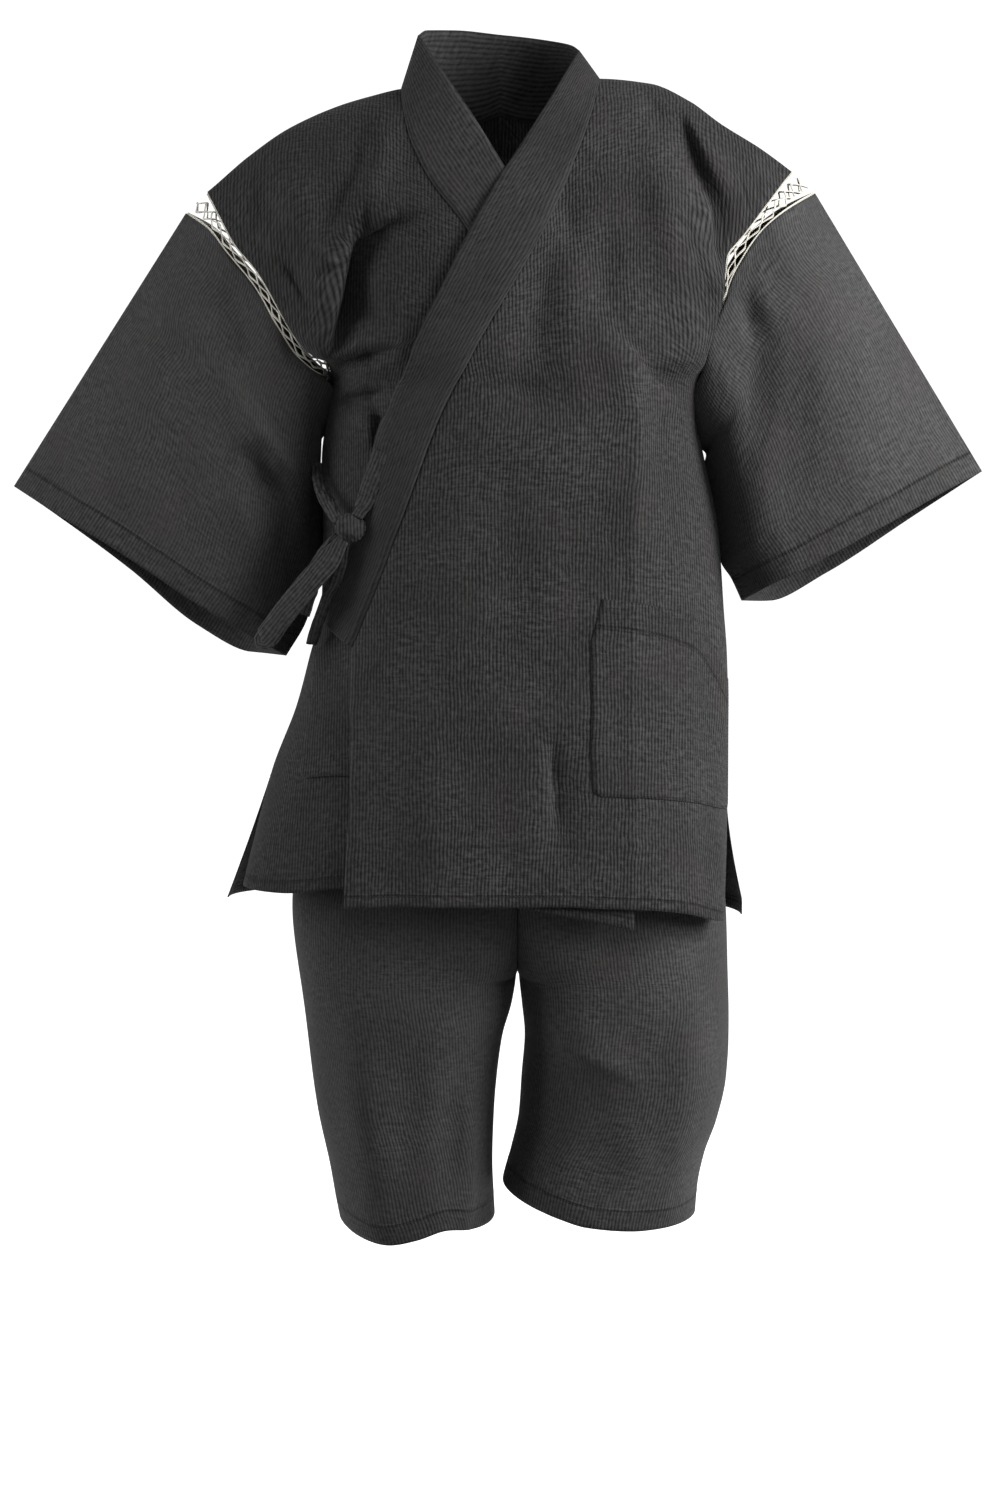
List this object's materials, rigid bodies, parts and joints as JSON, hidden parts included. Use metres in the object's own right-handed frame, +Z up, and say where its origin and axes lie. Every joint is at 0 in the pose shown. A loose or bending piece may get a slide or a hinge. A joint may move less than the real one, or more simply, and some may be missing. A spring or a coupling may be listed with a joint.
{
  "type": "jinbei set",
  "caption": "Worn charcoal jinbei: crossed jacket with a neck band, laced armholes, straight sleeves, patch pockets and side ties, over loose shorts.",
  "frame": {"origin": "middle of the neck at shoulder height, where the wearer carries the jacket", "axes": "+Z up along the body, +Y towards the wearer's back, +X towards the wearer's left"},
  "size_m": [0.8168, 0.2705, 1.0133],
  "materials": {
    "collar": "matte crepe-woven cotton",
    "jacket_left_panel": "matte crepe-woven cotton",
    "jacket_right_panel": "matte crepe-woven cotton",
    "lace_left_back": "matte cotton thread",
    "lace_left_front": "matte cotton thread",
    "lace_right_back": "matte cotton thread",
    "lace_right_front": "matte cotton thread",
    "pocket_left": "matte crepe-woven cotton",
    "pocket_right": "matte crepe-woven cotton",
    "shorts_left_leg": "matte crepe-woven cotton",
    "shorts_right_leg": "matte crepe-woven cotton",
    "sleeve_left": "matte crepe-woven cotton",
    "sleeve_right": "matte crepe-woven cotton",
    "tie_front": "matte crepe-woven cotton",
    "tie_knot": "matte crepe-woven cotton",
    "tie_loop": "matte crepe-woven cotton",
    "tie_side": "matte crepe-woven cotton",
    "tie_tail_long": "matte crepe-woven cotton",
    "tie_tail_short": "matte crepe-woven cotton",
    "waistband": "matte crepe-woven cotton"
  },
  "bodies": {
    "root": {"collar": "collar", "jacket_left_panel": "jacket_left_panel", "jacket_right_panel": "jacket_right_panel", "lace_left_back": "lace_left_back", "lace_left_front": "lace_left_front", "lace_right_back": "lace_right_back", "lace_right_front": "lace_right_front", "pocket_left": "pocket_left", "pocket_right": "pocket_right", "shorts_left_leg": "shorts_left_leg", "shorts_right_leg": "shorts_right_leg", "sleeve_left": "sleeve_left", "sleeve_right": "sleeve_right", "tie_front": "tie_front", "tie_knot": "tie_knot", "tie_loop": "tie_loop", "tie_side": "tie_side", "tie_tail_long": "tie_tail_long", "tie_tail_short": "tie_tail_short", "waistband": "waistband"}
  },
  "joints": []
}
